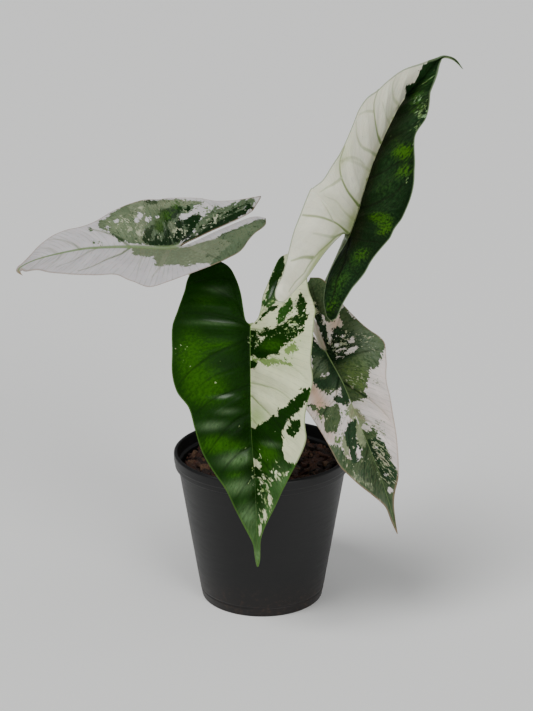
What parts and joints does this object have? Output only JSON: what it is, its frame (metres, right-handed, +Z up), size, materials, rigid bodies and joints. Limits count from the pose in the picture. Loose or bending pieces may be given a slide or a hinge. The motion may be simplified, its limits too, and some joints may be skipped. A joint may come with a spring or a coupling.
{
  "type": "potted albo simpo alocasia",
  "caption": "Variegated arrow-leaved houseplant: quilted cream and green blades on arching stalks, rooted in bark soil in a round tapered nursery pot.",
  "frame": {"origin": "centre of the pot's flat underside, on the surface it stands on", "axes": "+Z up, through the middle of the pot; the picture looks along +Y from a little above; +X to its right"},
  "size_m": [0.2853, 0.1609, 0.365],
  "materials": {
    "pot": "satin black moulded plastic",
    "soil": "damp red-brown bark chips",
    "stem": "green stock with brown leaf scars",
    "petiole": "smooth stalk, pale green flecked with cream and dark green",
    "blade_front": "glossy quilted leaf, deep green half and cream-marbled half",
    "blade_left": "satin leaf, white with grey-green and dark green marbling",
    "blade_upright": "satin leaf, ivory half and near-black green half",
    "blade_right_low": "satin leaf, pinkish cream with grey-green marbling"
  },
  "bodies": {
    "root": {"pot": "pot", "soil": "soil", "stem": "stem", "petiole_front": "petiole", "petiole_left": "petiole", "petiole_upright": "petiole", "petiole_right_low": "petiole", "blade_front": "blade_front", "blade_left": "blade_left", "blade_upright": "blade_upright", "blade_right_low": "blade_right_low"}
  },
  "joints": []
}
